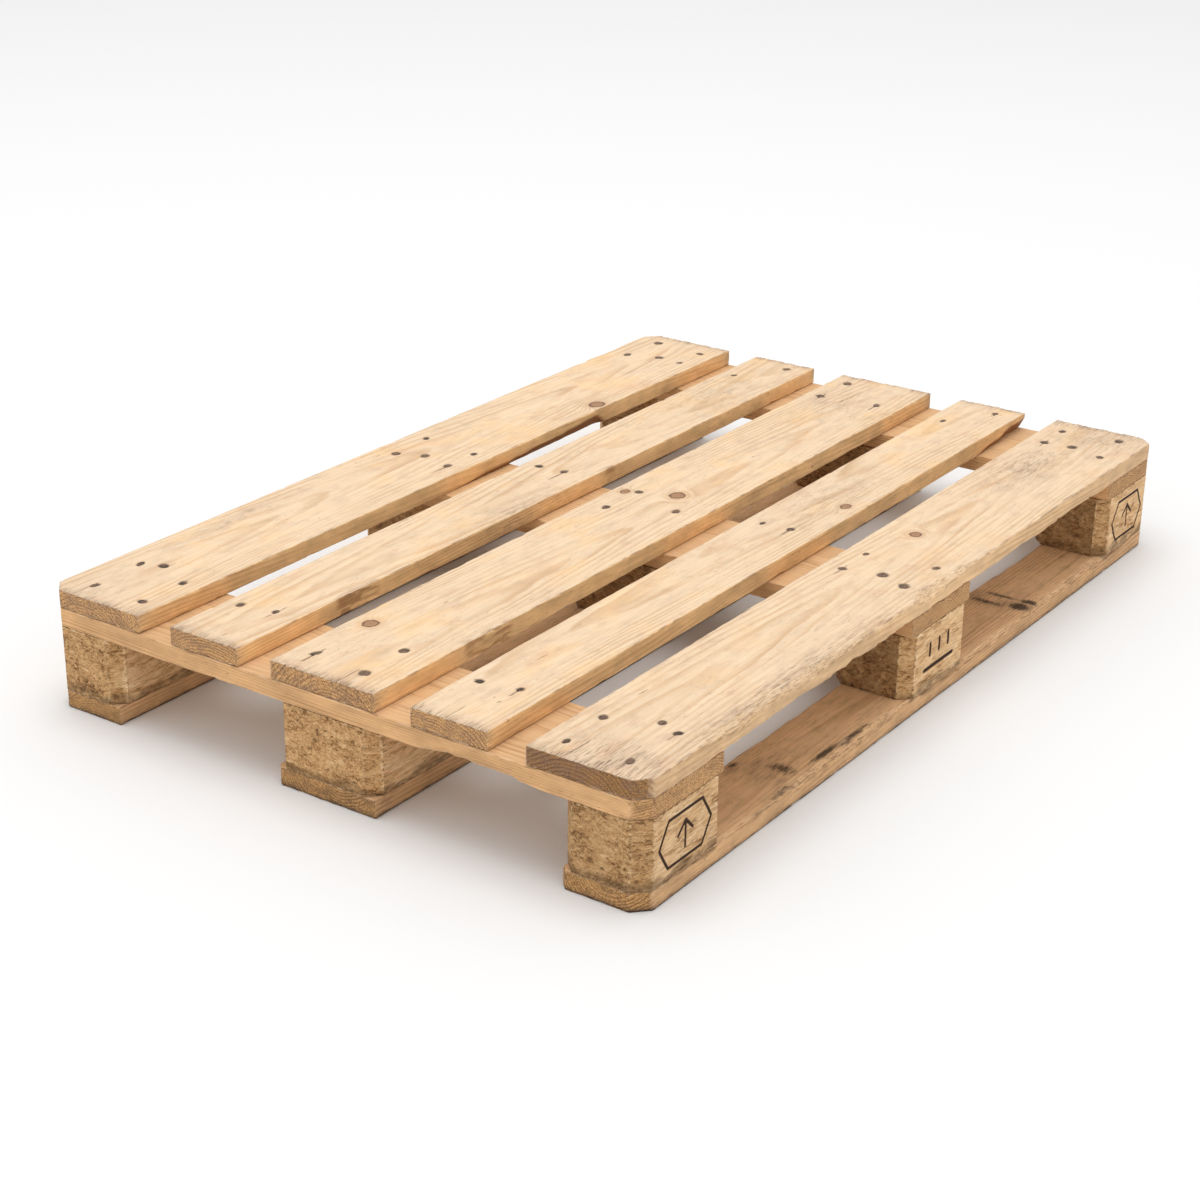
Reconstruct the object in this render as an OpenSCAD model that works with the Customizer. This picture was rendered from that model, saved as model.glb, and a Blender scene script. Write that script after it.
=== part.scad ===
// Four-way timber pallet: five deck boards over three stringer boards, nine
// pressed-wood blocks and three skid boards, held together by driven nails.
// Millimetres. +Y runs along the deck boards, +X across them, +Z up.
// The origin is on the ground, under the middle of the pallet.

/* [Overall] */
// Length of the pallet, along the deck boards
length = 1200; // [900:10:1500]
// Width of the pallet, along the stringer boards
width = 800; // [660:10:1200]
// Size of the saw cut across each upright corner of the pallet
corner_cut = 18; // [8:1:30]

/* [Deck boards] */
// Thickness of the deck boards
deck_t = 22; // [16:1:30]
// Width of the two outer deck boards and the centre one
wide_w = 140; // [115:1:170]
// Width of the two deck boards between them
narrow_w = 97; // [80:1:120]

/* [Stringer boards] */
// Thickness of the stringer boards
stringer_t = 22; // [16:1:30]
// Width of the stringer boards
stringer_w = 140; // [115:1:170]

/* [Blocks and skid boards] */
// Height of the blocks
block_h = 78; // [60:1:110]
// Length of the blocks, along the skids
block_l = 145; // [118:1:175]
// Size of the chamfer on the upright edges of a block
block_chamfer = 15; // [4:1:20]
// Width of the blocks and the skid board in the left and right rows
outer_row_w = 100; // [82:1:122]
// Width of the blocks and the skid board in the centre row
centre_row_w = 136; // [112:1:164]
// Thickness of the skid boards
skid_t = 22; // [16:1:30]

/* [Nails] */
// Length of the nails that go through the deck and a stringer into a block
long_nail_l = 90; // [75:1:108]
// Shank diameter of those nails
long_nail_d = 5.5; // [4:0.1:6.6]
// Head diameter of those nails
long_head_d = 11.5; // [9:0.1:13]
// Length of the nails that go through a skid into a block
skid_nail_l = 70; // [55:1:84]
// Shank diameter of those nails
skid_nail_d = 5; // [4:0.1:6.6]
// Head diameter of those nails
skid_head_d = 10.5; // [8:0.1:13]
// Diameter of the nails bent over under a stringer
clinch_nail_d = 4; // [3:0.1:5]
// Head diameter of those nails
clinch_head_d = 9.5; // [7:0.1:11]
// Length of the end that is bent over
clinch_leg_l = 12; // [6:1:16]
// Thickness of every nail head
head_t = 1.6; // [1:0.1:2.5]
// Depth of every nail head below the face of the wood
head_sink = 0.8; // [0.2:0.1:2]

/* [Hidden] */

$fn = 48;

// Places in the layout: rows run along the pallet, sides across it, and the
// five deck boards are counted outwards from the centre one.
FRONT = -1;
MIDDLE = 0;
REAR = 1;
LEFT = -1;
CENTRE = 0;
RIGHT = 1;
ROWS = [FRONT, MIDDLE, REAR];
SIDES = [LEFT, CENTRE, RIGHT];
OUTER_LEFT = -2;
MID_LEFT = -1;
MID_RIGHT = 1;
OUTER_RIGHT = 2;
BOARDS = [OUTER_LEFT, MID_LEFT, CENTRE, MID_RIGHT, OUTER_RIGHT];

// Levels of the layers, from the ground up.
block_z = skid_t;
stringer_z = block_z + block_h;
deck_z = stringer_z + stringer_t;
top_z = deck_z + deck_t;

deck_gap = (width - 3 * wide_w - 2 * narrow_w) / 4;
crossing_l = min(stringer_w, block_l);  // length that nails may use over a block
eps = 1;              // how far a cutting shape runs past a face
neck_share = 0.25;    // height of the cone under a nail head over the shank diameter
tip_share = 1.6;      // height of a nail's point over the shank diameter
clinch_proud = 0.5;   // how far a bent-over end stands below the stringer
clinch_bend_share = 1.2;  // bend radius over the nail's diameter
clinch_share = 0.35;  // place of a clinched nail across the strip beside a block

// Nail places for the front, middle and rear rows, as shares of the half width
// and half length of what they go into. On the outer rows the first share
// counts outwards from the middle of the row.
OUTER_LONG = [
    [[0.30, 0.55], [-0.22, 0.70], [0.20, -0.52]],
    [[0.46, 0.48], [0.34, -0.50], [-0.36, -0.28]],
    [[0.28, 0.52], [0.38, -0.52], [-0.52, -0.30]]
];
CENTRE_LONG = [
    [[-0.62, -0.40], [0.40, 0.44], [0.44, -0.50]],
    [[-0.62, -0.44], [-0.58, 0.52], [0.50, 0.10]],
    [[-0.66, 0.52], [-0.68, -0.48], [0.52, -0.34]]
];
NARROW_CLINCH = [
    [[-0.58, 0.26], [0.34, 0.40]],
    [[-0.54, 0.52], [0.22, 0.56]],
    [[-0.56, -0.38], [0.36, 0.60]]
];
OUTER_CLINCH = [[0.36, -0.54], [0.34, -0.44], [0.42, -0.36]];
OUTER_SKID = [[-0.52, -0.70], [-0.62, 0.36], [0.56, 0.05]];
CENTRE_SKID = [[-0.34, 0.04], [0.10, 0.68], [0.04, -0.72]];

function row_y(row, size) = row * (length - size) / 2;
function crossing_y(row) = row_y(row, crossing_l);
function is_outer(board) = abs(board) == OUTER_RIGHT;
function is_narrow(board) = abs(board) == MID_RIGHT;
function board_w(board) = is_narrow(board) ? narrow_w : wide_w;
function board_x(board) =
    is_outer(board) ? sign(board) * (width - wide_w) / 2
    : board * (wide_w / 2 + deck_gap + narrow_w / 2);
function side_w(side) = side == CENTRE ? centre_row_w : outer_row_w;
function side_x(side) = side * (width - outer_row_w) / 2;
function side_of(board) = sign(board);

// Turns the shares in a list into places over one block.
function block_places(shares, side, row) =
    let (outwards = side == CENTRE ? 1 : side)
    [for (s = shares) [
        side_x(side) + outwards * s[0] * side_w(side) / 2,
        crossing_y(row) + s[1] * crossing_l / 2
    ]];

function long_places(side, row) =
    block_places(side == CENTRE ? CENTRE_LONG[row + 1] : OUTER_LONG[row + 1], side, row);

function skid_places(side, row) =
    block_places(side == CENTRE ? CENTRE_SKID : OUTER_SKID, side, row);

function narrow_clinch_places(board, row) = [
    for (s = NARROW_CLINCH[row + 1]) [
        board_x(board) + s[0] * narrow_w / 2,
        row_y(row, stringer_w) + s[1] * stringer_w / 2
    ]
];

function outer_clinch_places(board, row) = [
    for (s = OUTER_CLINCH[row + 1]) [
        side_of(board) * (width / 2 - outer_row_w - clinch_share * (wide_w - outer_row_w)),
        row_y(row, stringer_w) + s * stringer_w / 2
    ]
];

function clinch_places(board, row) =
    is_narrow(board) ? narrow_clinch_places(board, row)
    : is_outer(board) ? outer_clinch_places(board, row)
    : [];

// A nail standing head up, the top of its head at z = 0. With spare above 0
// the head is drawn taller, to cut the hole that the nail fills.
module nail(l, d, head_d, spare = 0) {
    neck = neck_share * d;
    tip = tip_share * d;
    rotate_extrude()
        polygon([
            [0, spare], [head_d / 2, spare], [head_d / 2, -head_t],
            [d / 2, -head_t - neck], [d / 2, -l + tip], [0, -l]
        ]);
}

// A nail through deck and stringer whose end is bent over along +Y.
module clinched_nail(spare = 0) {
    r = clinch_nail_d / 2;
    bend_r = clinch_bend_share * clinch_nail_d;
    leg_z = stringer_z - clinch_proud + r;
    head_z = top_z - head_sink;
    translate([0, 0, head_z - head_t])
        cylinder(r = clinch_head_d / 2, h = head_t + spare);
    translate([0, 0, leg_z + bend_r])
        cylinder(r = r, h = head_z - head_t - leg_z - bend_r);
    translate([0, bend_r, leg_z + bend_r])
        rotate([0, 90, 0])
            rotate([0, 0, -90])
                rotate_extrude(angle = 90)
                    translate([bend_r, 0])
                        circle(r = r);
    translate([0, bend_r, leg_z])
        rotate([-90, 0, 0])
            cylinder(r = r, h = clinch_leg_l);
}

module long_nails_at(side, row, spare = 0) {
    for (p = long_places(side, row))
        translate([p[0], p[1], top_z - head_sink])
            nail(long_nail_l, long_nail_d, long_head_d, spare);
}

module clinch_nails_at(board, row, spare = 0) {
    for (p = clinch_places(board, row))
        translate([p[0], p[1], 0])
            clinched_nail(spare);
}

module skid_nails_at(side, row, spare = 0) {
    for (p = skid_places(side, row))
        translate([p[0], p[1], head_sink])
            rotate([180, 0, 0])
                nail(skid_nail_l, skid_nail_d, skid_head_d, spare);
}

// Corner of an outline, cut at 45 degrees, as two points.
function cut_corner(x, y, sx, sy, cut) = sx * sy > 0
    ? [[sx * x, sy * (y - cut)], [sx * (x - cut), sy * y]]
    : [[sx * (x - cut), sy * y], [sx * x, sy * (y - cut)]];

// Upright piece with all four corners cut.
module cut_prism(w, l, h, cut) {
    x = w / 2;
    y = l / 2;
    linear_extrude(h)
        polygon(concat(
            cut_corner(x, y, 1, 1, cut),
            cut_corner(x, y, -1, 1, cut),
            cut_corner(x, y, -1, -1, cut),
            cut_corner(x, y, 1, -1, cut)
        ));
}

// Keeps only what is inside the pallet's own outline, between two levels.
module trimmed(z0, z1) {
    intersection() {
        children();
        translate([0, 0, z0 - eps])
            cut_prism(width, length, z1 - z0 + 2 * eps, corner_cut);
    }
}

module plain_board(w, l, h, x, y, z) {
    translate([x - w / 2, y - l / 2, z])
        cube([w, l, h]);
}

module deck_board(board) {
    color("burlywood")
        difference() {
            trimmed(deck_z, top_z)
                plain_board(board_w(board), length, deck_t, board_x(board), 0, deck_z);
            for (row = ROWS) {
                clinch_nails_at(board, row, head_sink + eps);
                if (!is_narrow(board))
                    long_nails_at(side_of(board), row, head_sink + eps);
            }
        }
}

module stringer(row) {
    color("tan")
        difference() {
            trimmed(stringer_z, deck_z)
                plain_board(width, stringer_w, stringer_t, 0, row_y(row, stringer_w), stringer_z);
            for (side = SIDES)
                long_nails_at(side, row);
            for (board = BOARDS)
                clinch_nails_at(board, row);
        }
}

module block(side, row) {
    color("peru")
        difference() {
            trimmed(block_z, stringer_z)
                translate([side_x(side), row_y(row, block_l), block_z])
                    cut_prism(side_w(side), block_l, block_h, block_chamfer);
            long_nails_at(side, row);
            skid_nails_at(side, row);
        }
}

module skid(side) {
    color("rosybrown")
        difference() {
            trimmed(0, skid_t)
                plain_board(side_w(side), length, skid_t, side_x(side), 0, 0);
            for (row = ROWS)
                skid_nails_at(side, row, head_sink + eps);
        }
}

module long_nails() {
    color("dimgray")
        for (side = SIDES, row = ROWS)
            long_nails_at(side, row);
}

module clinch_nails() {
    color("dimgray")
        for (board = BOARDS, row = ROWS)
            clinch_nails_at(board, row);
}

module skid_nails() {
    color("dimgray")
        for (side = SIDES, row = ROWS)
            skid_nails_at(side, row);
}

deck_board(OUTER_LEFT);  // deck_board_left
deck_board(MID_LEFT);  // deck_board_mid_left
deck_board(CENTRE);  // deck_board_centre
deck_board(MID_RIGHT);  // deck_board_mid_right
deck_board(OUTER_RIGHT);  // deck_board_right
stringer(FRONT);  // stringer_front
stringer(MIDDLE);  // stringer_middle
stringer(REAR);  // stringer_rear
block(LEFT, FRONT);  // block_front_left
block(CENTRE, FRONT);  // block_front_centre
block(RIGHT, FRONT);  // block_front_right
block(LEFT, MIDDLE);  // block_middle_left
block(CENTRE, MIDDLE);  // block_middle_centre
block(RIGHT, MIDDLE);  // block_middle_right
block(LEFT, REAR);  // block_rear_left
block(CENTRE, REAR);  // block_rear_centre
block(RIGHT, REAR);  // block_rear_right
skid(LEFT);  // skid_left
skid(CENTRE);  // skid_centre
skid(RIGHT);  // skid_right
long_nails();
clinch_nails();
skid_nails();
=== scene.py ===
"""Looks of the wooden pallet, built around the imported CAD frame.

Every board, block and skid is rebuilt as a dense closed mesh in the place of its
CAD node, with worn edges, chips, splits, wane and nail dents as real geometry, and
gets its own procedural wood. Lengths inside this script are in millimetres until a
mesh is made.
"""

import math

import bpy
import numpy as np
from mathutils import Euler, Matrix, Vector


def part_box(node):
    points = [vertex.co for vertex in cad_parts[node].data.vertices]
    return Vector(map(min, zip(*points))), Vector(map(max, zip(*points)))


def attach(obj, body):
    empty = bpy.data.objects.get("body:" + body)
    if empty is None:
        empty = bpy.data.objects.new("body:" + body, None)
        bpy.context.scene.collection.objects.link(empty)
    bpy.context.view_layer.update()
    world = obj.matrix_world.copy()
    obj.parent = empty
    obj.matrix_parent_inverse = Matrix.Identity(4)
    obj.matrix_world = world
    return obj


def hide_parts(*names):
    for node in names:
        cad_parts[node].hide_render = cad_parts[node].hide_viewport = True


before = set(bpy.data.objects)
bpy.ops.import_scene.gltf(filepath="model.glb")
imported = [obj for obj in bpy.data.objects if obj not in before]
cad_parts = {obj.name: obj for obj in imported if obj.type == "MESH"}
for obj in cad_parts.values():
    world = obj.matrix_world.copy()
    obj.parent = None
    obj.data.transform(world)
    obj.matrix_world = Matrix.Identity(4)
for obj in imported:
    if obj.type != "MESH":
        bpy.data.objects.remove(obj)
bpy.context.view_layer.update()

MM = 0.001


# ---------------------------------------------------------------- random fields
def hashed(i, j, k, seed):
    """A repeatable value from 0 to 1 for whole-number places."""
    h = (i * 374761393 + j * 668265263 + k * 1103515245 + seed * 1274126177) & 0xFFFFFFFF
    h = ((h ^ (h >> 13)) * 1274126177) & 0xFFFFFFFF
    h = ((h ^ (h >> 16)) * 668265263) & 0xFFFFFFFF
    return (h ^ (h >> 15)) / 4294967295.0


def noise(p, size, seed):
    """Smooth noise from -1 to 1 at the places p; size is how long its waves are."""
    q = p / np.asarray(size, float)
    cell = np.floor(q).astype(np.int64)
    f = q - cell
    f = f * f * (3 - 2 * f)
    out = np.zeros(len(p))
    for a in (0, 1):
        fa = f[:, 0] if a else 1 - f[:, 0]
        for b in (0, 1):
            fb = f[:, 1] if b else 1 - f[:, 1]
            for c in (0, 1):
                fc = f[:, 2] if c else 1 - f[:, 2]
                i, j, k = cell[:, 0] + a, cell[:, 1] + b, cell[:, 2] + c
                out += fa * fb * fc * hashed(i, j, k, seed)
    return 2 * out - 1


def wave(t, length, seed):
    """The same noise along one line."""
    return noise(np.stack([t, np.zeros_like(t), np.zeros_like(t)], 1), length, seed)


def ease(t, lo, hi):
    """A smooth step from 0 at lo to 1 at hi."""
    t = np.clip((t - lo) / (hi - lo), 0, 1)
    return t * t * (3 - 2 * t)


def splinters(t, seed, count, lengths, depths):
    """Depth of chips torn out along an edge: each starts sharply and runs out with the grain.

    lengths and depths are the smallest and largest of each.
    """
    rng = np.random.default_rng(seed)
    out = np.zeros_like(t)
    lo, hi = t.min(), t.max()
    for _ in range(count):
        start = rng.uniform(lo, hi)
        s = (t - start) * rng.choice((-1, 1)) / rng.uniform(*lengths)
        chip = rng.uniform(*depths) * (1 - np.clip(s, 0, 1)) ** 1.3 * ease(s, 0, 0.08)
        out = np.maximum(out, np.where((s > 0) & (s < 1), chip, 0))
    return out


def pits(p, size, share, seed):
    """Scattered hollows, 1 at the middle of each and 0 outside, in a share of the cells."""
    q = p / np.asarray(size, float)
    cell = np.floor(q).astype(np.int64)
    out = np.zeros(len(p))
    for a in (-1, 0, 1):
        for b in (-1, 0, 1):
            for c in (-1, 0, 1):
                i, j, k = cell[:, 0] + a, cell[:, 1] + b, cell[:, 2] + c
                centre = np.stack([i + hashed(i, j, k, seed), j + hashed(i, j, k, seed + 1),
                                   k + hashed(i, j, k, seed + 2)], 1)
                reach = 0.15 + 0.4 * hashed(i, j, k, seed + 3)
                near = 1 - ((q - centre) ** 2).sum(1) / reach ** 2
                out = np.maximum(out, np.where(hashed(i, j, k, seed + 4) < share, near, 0))
    return out


# ---------------------------------------------------------------- meshes
END_STEP = 0.7         # grid step at a piece's ends
END_GROWTH = 0.4       # how much the step grows with each millimetre away from an end
SPAN_GROWTH = 0.35     # the same, away from a span with a finer grid
LEAST_STEP = 0.35
EDGE_BAND = 7.0        # width of the strip beside an edge that counts as edge
SHARP = math.radians(38)
PAINTS = ("end", "side", "edge", "crack", "stain", "bark", "burn", "grime", "fresh", "spill")


def lines(lo, hi, step, spans=(), must=()):
    """Grid places from lo to hi, closer at both ends and in spans of (centre, half width, step)."""
    at = [lo]
    while at[-1] < hi:
        t = at[-1]
        h = min(step, END_STEP + END_GROWTH * max(min(t - lo, hi - t), 0))
        for centre, half, fine in spans:
            h = min(h, fine + SPAN_GROWTH * max(abs(t - centre) - half, 0))
        at.append(t + h)
    at[-1] = hi
    if at[-1] - at[-2] < LEAST_STEP:
        del at[-2]
    at = np.array(at)
    for m in must:
        at[np.abs(at - m).argmin()] = m
    return at


def lattice(us, vs, ws):
    """Places and outward quads of a box's surface, with grid lines at us, vs and ws."""
    sizes = [len(us), len(vs), len(ws)]
    i, j, k = np.meshgrid(*[np.arange(n) for n in sizes], indexing="ij")
    on = (i == 0) | (j == 0) | (k == 0)
    on |= (i == sizes[0] - 1) | (j == sizes[1] - 1) | (k == sizes[2] - 1)
    number = np.full(on.shape, -1)
    number[on] = np.arange(on.sum())
    places = np.stack([us[i[on]], vs[j[on]], ws[k[on]]], 1)
    quads = []
    for sheet, flip in (
        (number[:, :, -1], False), (number[:, :, 0], True),
        (number[:, 0, :], False), (number[:, -1, :], True),
        (number[0], True), (number[-1], False),
    ):
        q = np.stack([sheet[:-1, :-1], sheet[1:, :-1], sheet[1:, 1:], sheet[:-1, 1:]], -1)
        q = q.reshape(-1, 4)
        quads.append(q[:, ::-1] if flip else q)
    return places, np.concatenate(quads)


class Piece:
    """One piece of wood in its own frame: u across the grain, v along it, w up.

    p holds the mesh's places, cut back from the CAD node's box by each kind of wear, and
    flat holds them before any wear. paint says, for each place, how strongly the material
    shows something.
    """

    def __init__(self, node, along, seed, steps, spans=((), (), ()), cuts=None, radius=1.2):
        lo, hi = (np.array(c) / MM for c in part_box(node))
        if along == "x":
            lo, hi = np.array([-hi[1], lo[0], lo[2]]), np.array([-lo[1], hi[0], hi[2]])
        self.node, self.along, self.seed = node, along, seed
        self.lo, self.hi = lo, hi
        self.cuts = cuts or {}
        must = [(hi[1] - cut if sv > 0 else lo[1] + cut) for (su, sv), cut in self.cuts.items()]
        musts = ((), must, ())
        grid = [lines(lo[a], hi[a], steps[a], spans[a], musts[a]) for a in range(3)]
        self.flat, self.quads = lattice(*grid)
        self.paint = {}
        self.soften(radius)

    def face(self, axis, sign):
        """Which places lie on the face at the axis's high or low end."""
        return np.isclose(self.flat[:, axis], self.hi[axis] if sign > 0 else self.lo[axis])

    def soften(self, radius):
        """Rounds every edge, more in some places than in others."""
        r = radius * (1 + 0.55 * noise(self.flat, (60, 60, 25), self.seed + 1))
        q = np.clip(self.flat, self.lo + r[:, None], self.hi - r[:, None])
        out = self.flat - q
        self.out = out / np.linalg.norm(out, axis=1, keepdims=True)
        self.p = q + self.out * r[:, None]
        gap = np.sort(np.minimum(self.flat - self.lo, self.hi - self.flat), axis=1)[:, 1]
        self.paint["edge"] = np.clip(1 - gap / EDGE_BAND, 0, 1)

    def rough(self, depth, size, seed, where=None):
        """Lowers the surface by up to depth, in waves of the given size."""
        d = depth * (0.5 + 0.5 * noise(self.p, size, self.seed + seed))
        if where is not None:
            d = d * where
        self.p -= self.out * d[:, None]

    def darken(self, name, amount):
        """Raises one kind of paint to at least the given amount."""
        self.paint[name] = np.maximum(self.paint.get(name, 0), amount)

    def shave(self, way, depth, steep=1.0, mark=None):
        """Cuts a sloping strip off the edge on the sides named by way, such as (1, 0, 1).

        With a mark, the strip gets that paint where it is deep, and a dark broken rim.
        """
        way = np.array(way, float)
        corner = np.where(way > 0, self.hi, self.lo)
        slope = way.copy()
        slope[2] *= steep
        slope /= np.linalg.norm(slope)
        over = (self.p - corner) @ slope + depth
        hit = over > 0
        self.p[hit] -= over[hit, None] * slope
        if mark:
            deep = depth > 1.0
            self.darken(mark, ease(over, 0.0, 0.8) * deep)
            rim = np.clip(1 - np.abs(over - 0.1) / 0.9, 0, 1) * deep
            rim = rim * ease(noise(self.p, (5, 26, 5), self.seed + 64), -0.2, 0.4)
            self.darken("crack", 0.55 * rim)

    def split(self, w_side, u0, v0, v1, width, depth, sway=2.0):
        """A drying crack along the grain in the top or bottom face, tapering inside the board."""
        on = self.face(2, w_side)
        v = self.p[:, 1]
        reach = 0.5 * abs(v1 - v0)
        taper = np.clip((reach - np.abs(v - 0.5 * (v0 + v1))) / (0.35 * reach), 0, 1)
        if min(v0, v1) <= self.lo[1] + 1:
            taper = np.where(v < 0.5 * (v0 + v1), 1.0, taper)
        if max(v0, v1) >= self.hi[1] - 1:
            taper = np.where(v > 0.5 * (v0 + v1), 1.0, taper)
        path = u0 + sway * wave(v, 38, self.seed + int(abs(u0)))
        path = path + 0.5 * wave(v, 9, self.seed + 3)
        uneven = 0.7 + 0.45 * wave(v, 12, self.seed + int(abs(v0)))
        wide = width * np.maximum(taper, 0.01) * uneven
        inside = np.clip(1 - np.abs(self.p[:, 0] - path) / (0.5 * wide), 0, 1)
        inside *= on * (taper > 0)
        self.p[:, 2] -= w_side * depth * inside * np.sqrt(taper)
        self.darken("crack", np.clip(1.8 * inside, 0, 0.9))

    def tear(self, su, v0, v1, depth):
        """Torn, dark grain on one long edge and the side below it."""
        v = self.p[:, 1]
        zone = ease(v, v0, v0 + 14) * (1 - ease(v, v1 - 14, v1))
        ragged = 0.5 + 0.5 * noise(self.p, (3, 13, 3), self.seed + 61)
        self.shave((su, 0, 1), zone * depth * (0.4 + ragged), steep=0.8)
        side = self.face(0, su)
        self.p[:, 0] -= su * side * zone * 0.7 * depth * ragged
        border = self.hi[0] if su > 0 else self.lo[0]
        near = np.clip(1 - su * (border - self.p[:, 0]) / 9, 0, 1)
        dark = zone * near * ease(noise(self.p, (2.5, 17, 3.5), self.seed + 62), -0.35, 0.35)
        self.darken("bark", 0.7 * dark)

    def dent(self, w_side, place, radius, depth, seed):
        """The hollow over a driven nail head; fibres close over part of some heads."""
        rng = np.random.default_rng(self.seed * 1000 + seed)
        turn = rng.uniform(-0.5, 0.5)
        du, dv = self.p[:, 0] - place[0], self.p[:, 1] - place[1]
        du, dv = du - rng.uniform(-0.9, 0.9), dv - rng.uniform(-0.9, 0.9)
        a = (du * math.cos(turn) - dv * math.sin(turn)) / rng.uniform(0.5, 1.0)
        b = (du * math.sin(turn) + dv * math.cos(turn)) / rng.uniform(0.78, 1.1)
        d = np.hypot(a, b) + 0.7 * noise(self.p, 3.0, self.seed + seed)
        on = self.face(2, w_side)
        hole = (1 - ease(d, radius - 0.4, radius + 1.0)) * on
        self.p[:, 2] -= w_side * depth * hole
        ring = (1 - ease(d, radius - 0.2, radius + 2.2)) * on
        self.darken("stain", ring)

    def trim(self):
        """Narrows the piece at its ends to make the sawn corners."""
        end = (self.face(1, 1) | self.face(1, -1)).astype(float)
        for (su, sv), cut in self.cuts.items():
            side = self.hi[0] if su > 0 else self.lo[0]
            tip = self.hi[1] if sv > 0 else self.lo[1]
            into = np.clip(cut - sv * (tip - self.p[:, 1]), 0, None)
            reach = min(45.0, 0.5 * (self.hi[0] - self.lo[0]))
            share = np.clip(1 - su * (side - self.p[:, 0]) / reach, 0, 1)
            crease = 1 - np.abs(cut - sv * (tip - self.p[:, 1])) / 4
            self.darken("edge", crease * self.face(0, su))
            end = np.maximum(end, (into > 0.2) * self.face(0, su))
            self.p[:, 0] -= su * into * share
        self.paint["end"] = end
        self.paint["side"] = (self.face(0, 1) | self.face(0, -1)) * (1.0 - end)

    def place(self):
        """Places in the row frame, in metres."""
        u, v, w = self.p.T
        xyz = np.stack([v, -u, w] if self.along == "x" else [u, v, w], 1)
        return xyz * MM

    def build(self, material):
        """Makes the Blender object that stands for the CAD node."""
        mesh = bpy.data.meshes.new(self.node + "_wood")
        co = self.place()
        mesh.from_pydata(co.tolist(), [], self.quads.tolist())
        for name in PAINTS:
            layer = mesh.attributes.new(name, "FLOAT", "POINT")
            values = self.paint.get(name, 0) * np.ones(len(co))
            layer.data.foreach_set("value", values.astype(np.float32))
        layer = mesh.attributes.new("grain", "FLOAT_VECTOR", "POINT")
        layer.data.foreach_set("vector", self.p.astype(np.float32).ravel())
        mesh.polygons.foreach_set("use_smooth", [True] * len(mesh.polygons))
        mesh.set_sharp_from_angle(angle=SHARP)
        mesh.materials.append(material)
        thing = bpy.data.objects.new(self.node + "_wood", mesh)
        bpy.context.scene.collection.objects.link(thing)
        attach(thing, "root")
        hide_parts(self.node)


# ---------------------------------------------------------------- materials
def tone(code, shade=1.0):
    """A colour code such as "F4DDB6" as linear light, darkened by shade."""
    parts = [int(code[i:i + 2], 16) / 255 for i in (0, 2, 4)]
    parts = [c / 12.92 if c < 0.04045 else ((c + 0.055) / 1.055) ** 2.4 for c in parts]
    return (*[shade * c for c in parts], 1.0)


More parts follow.
